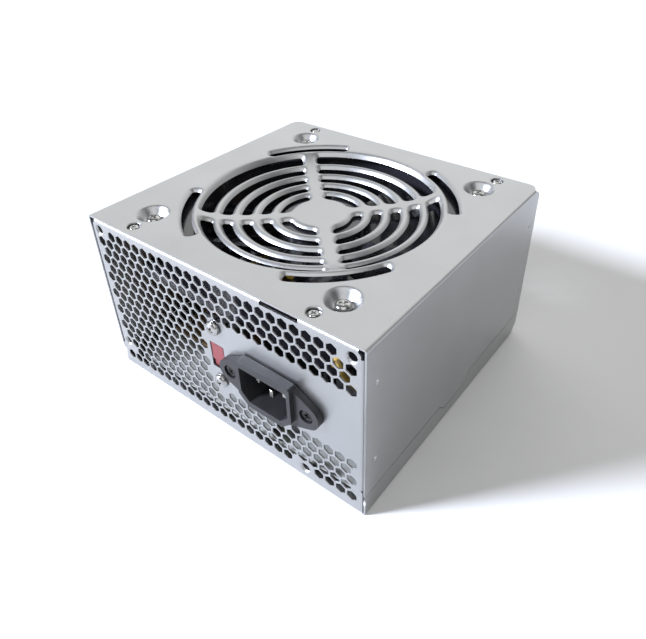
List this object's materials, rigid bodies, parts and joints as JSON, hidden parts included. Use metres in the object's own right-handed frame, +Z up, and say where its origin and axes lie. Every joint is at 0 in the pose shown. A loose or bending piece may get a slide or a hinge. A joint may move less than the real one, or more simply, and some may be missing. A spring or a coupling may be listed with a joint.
{
  "type": "power supply unit",
  "caption": "Desktop computer power supply in a folded steel case with a round fan grille on top, a honeycomb inlet panel, a three-pin mains inlet and a red voltage selector.",
  "frame": {"origin": "centre of the underside of the case", "axes": "+X to the right as one faces the inlet panel, +Y from the inlet panel towards the front panel with the cable outlet, +Z up through the fan grille"},
  "size_m": [0.15, 0.1471, 0.086],
  "materials": {
    "zinc_steel": "satin zinc plating on folded sheet steel",
    "bright_steel": "bright plated fasteners",
    "black_fan_plastic": "black moulded plastic with a slight sheen",
    "black_inlet_plastic": "black moulded plastic",
    "red_plastic": "red moulded plastic",
    "grey_plastic": "dark grey moulded plastic",
    "nickel_pin": "nickel plated brass",
    "board_laminate": "phenolic paper circuit board",
    "insulation": "thin insulating sheet",
    "aluminium": "extruded aluminium",
    "capacitor_sleeve": "shrunk plastic sleeve",
    "yellow_plastic": "yellow winding tape and cases",
    "component_black": "moulded black epoxy",
    "ferrite": "dark ferrite",
    "copper_wire": "enamelled copper windings",
    "sintered_bronze": "sintered bearing bush",
    "fuse_glass": "glass tube",
    "brown_lead": "insulated wire",
    "black_steel": "blackened screws",
    "black_lead": "insulated wire",
    "green_lead": "insulated wire",
    "yellow_lead": "insulated wire"
  },
  "bodies": {
    "chassis": {"base_chassis": "zinc_steel", "board_screw_1": "bright_steel", "board_screw_2": "bright_steel", "board_screw_3": "bright_steel", "board_screw_4": "bright_steel", "bridge_rectifier": "component_black", "bulk_capacitor_1": "capacitor_sleeve", "bulk_capacitor_2": "capacitor_sleeve", "cable_grommet": "grey_plastic", "circuit_board": "board_laminate", "controller_chip": "component_black", "cover_screw_1": "bright_steel", "cover_screw_2": "bright_steel", "cover_screw_3": "bright_steel", "cover_screw_4": "bright_steel", "drive_transformer": "yellow_plastic", "earth_lead": "green_lead", "fan_bearing": "sintered_bronze", "fan_driver_board": "board_laminate", "fan_frame": "black_fan_plastic", "fan_lead": "yellow_lead", "fan_screw_1": "bright_steel", "fan_screw_2": "bright_steel", "fan_screw_3": "bright_steel", "fan_screw_4": "bright_steel", "fan_stator": "copper_wire", "fuse": "fuse_glass", "inlet_body": "black_inlet_plastic", "inlet_pin_earth": "nickel_pin", "inlet_pin_line": "nickel_pin", "inlet_pin_neutral": "nickel_pin", "inlet_screw_1": "black_steel", "inlet_screw_2": "black_steel", "insulating_sheet": "insulation", "line_lead": "brown_lead", "main_transformer": "yellow_plastic", "neutral_lead": "black_lead", "output_capacitor_1": "capacitor_sleeve", "output_capacitor_2": "capacitor_sleeve", "output_capacitor_3": "capacitor_sleeve", "output_capacitor_4": "capacitor_sleeve", "output_choke": "copper_wire", "output_rectifier_1": "component_black", "output_rectifier_2": "component_black", "primary_heatsink": "aluminium", "secondary_heatsink": "aluminium", "selector_body": "component_black", "selector_screw_1": "bright_steel", "selector_screw_2": "bright_steel", "standby_transformer": "yellow_plastic", "suppression_capacitor": "grey_plastic", "suppression_choke": "ferrite", "switching_transistor_1": "component_black", "switching_transistor_2": "component_black", "top_cover": "zinc_steel"},
    "fan_rotor": {"fan_impeller": "black_fan_plastic", "fan_magnet_ring": "ferrite", "fan_shaft": "bright_steel"},
    "selector_knob": {"selector_slider": "red_plastic"}
  },
  "joints": [
    {"name": "fan_spin", "type": "hinge", "parent": "chassis", "child": "fan_rotor", "pos_m": [0, 0, 0.068], "axis": [0, 0, 1], "continuous": true},
    {"name": "selector_slide", "type": "slide", "parent": "chassis", "child": "selector_knob", "axis": [0, 0, 1], "range_m": [-0.004, 0]}
  ]
}
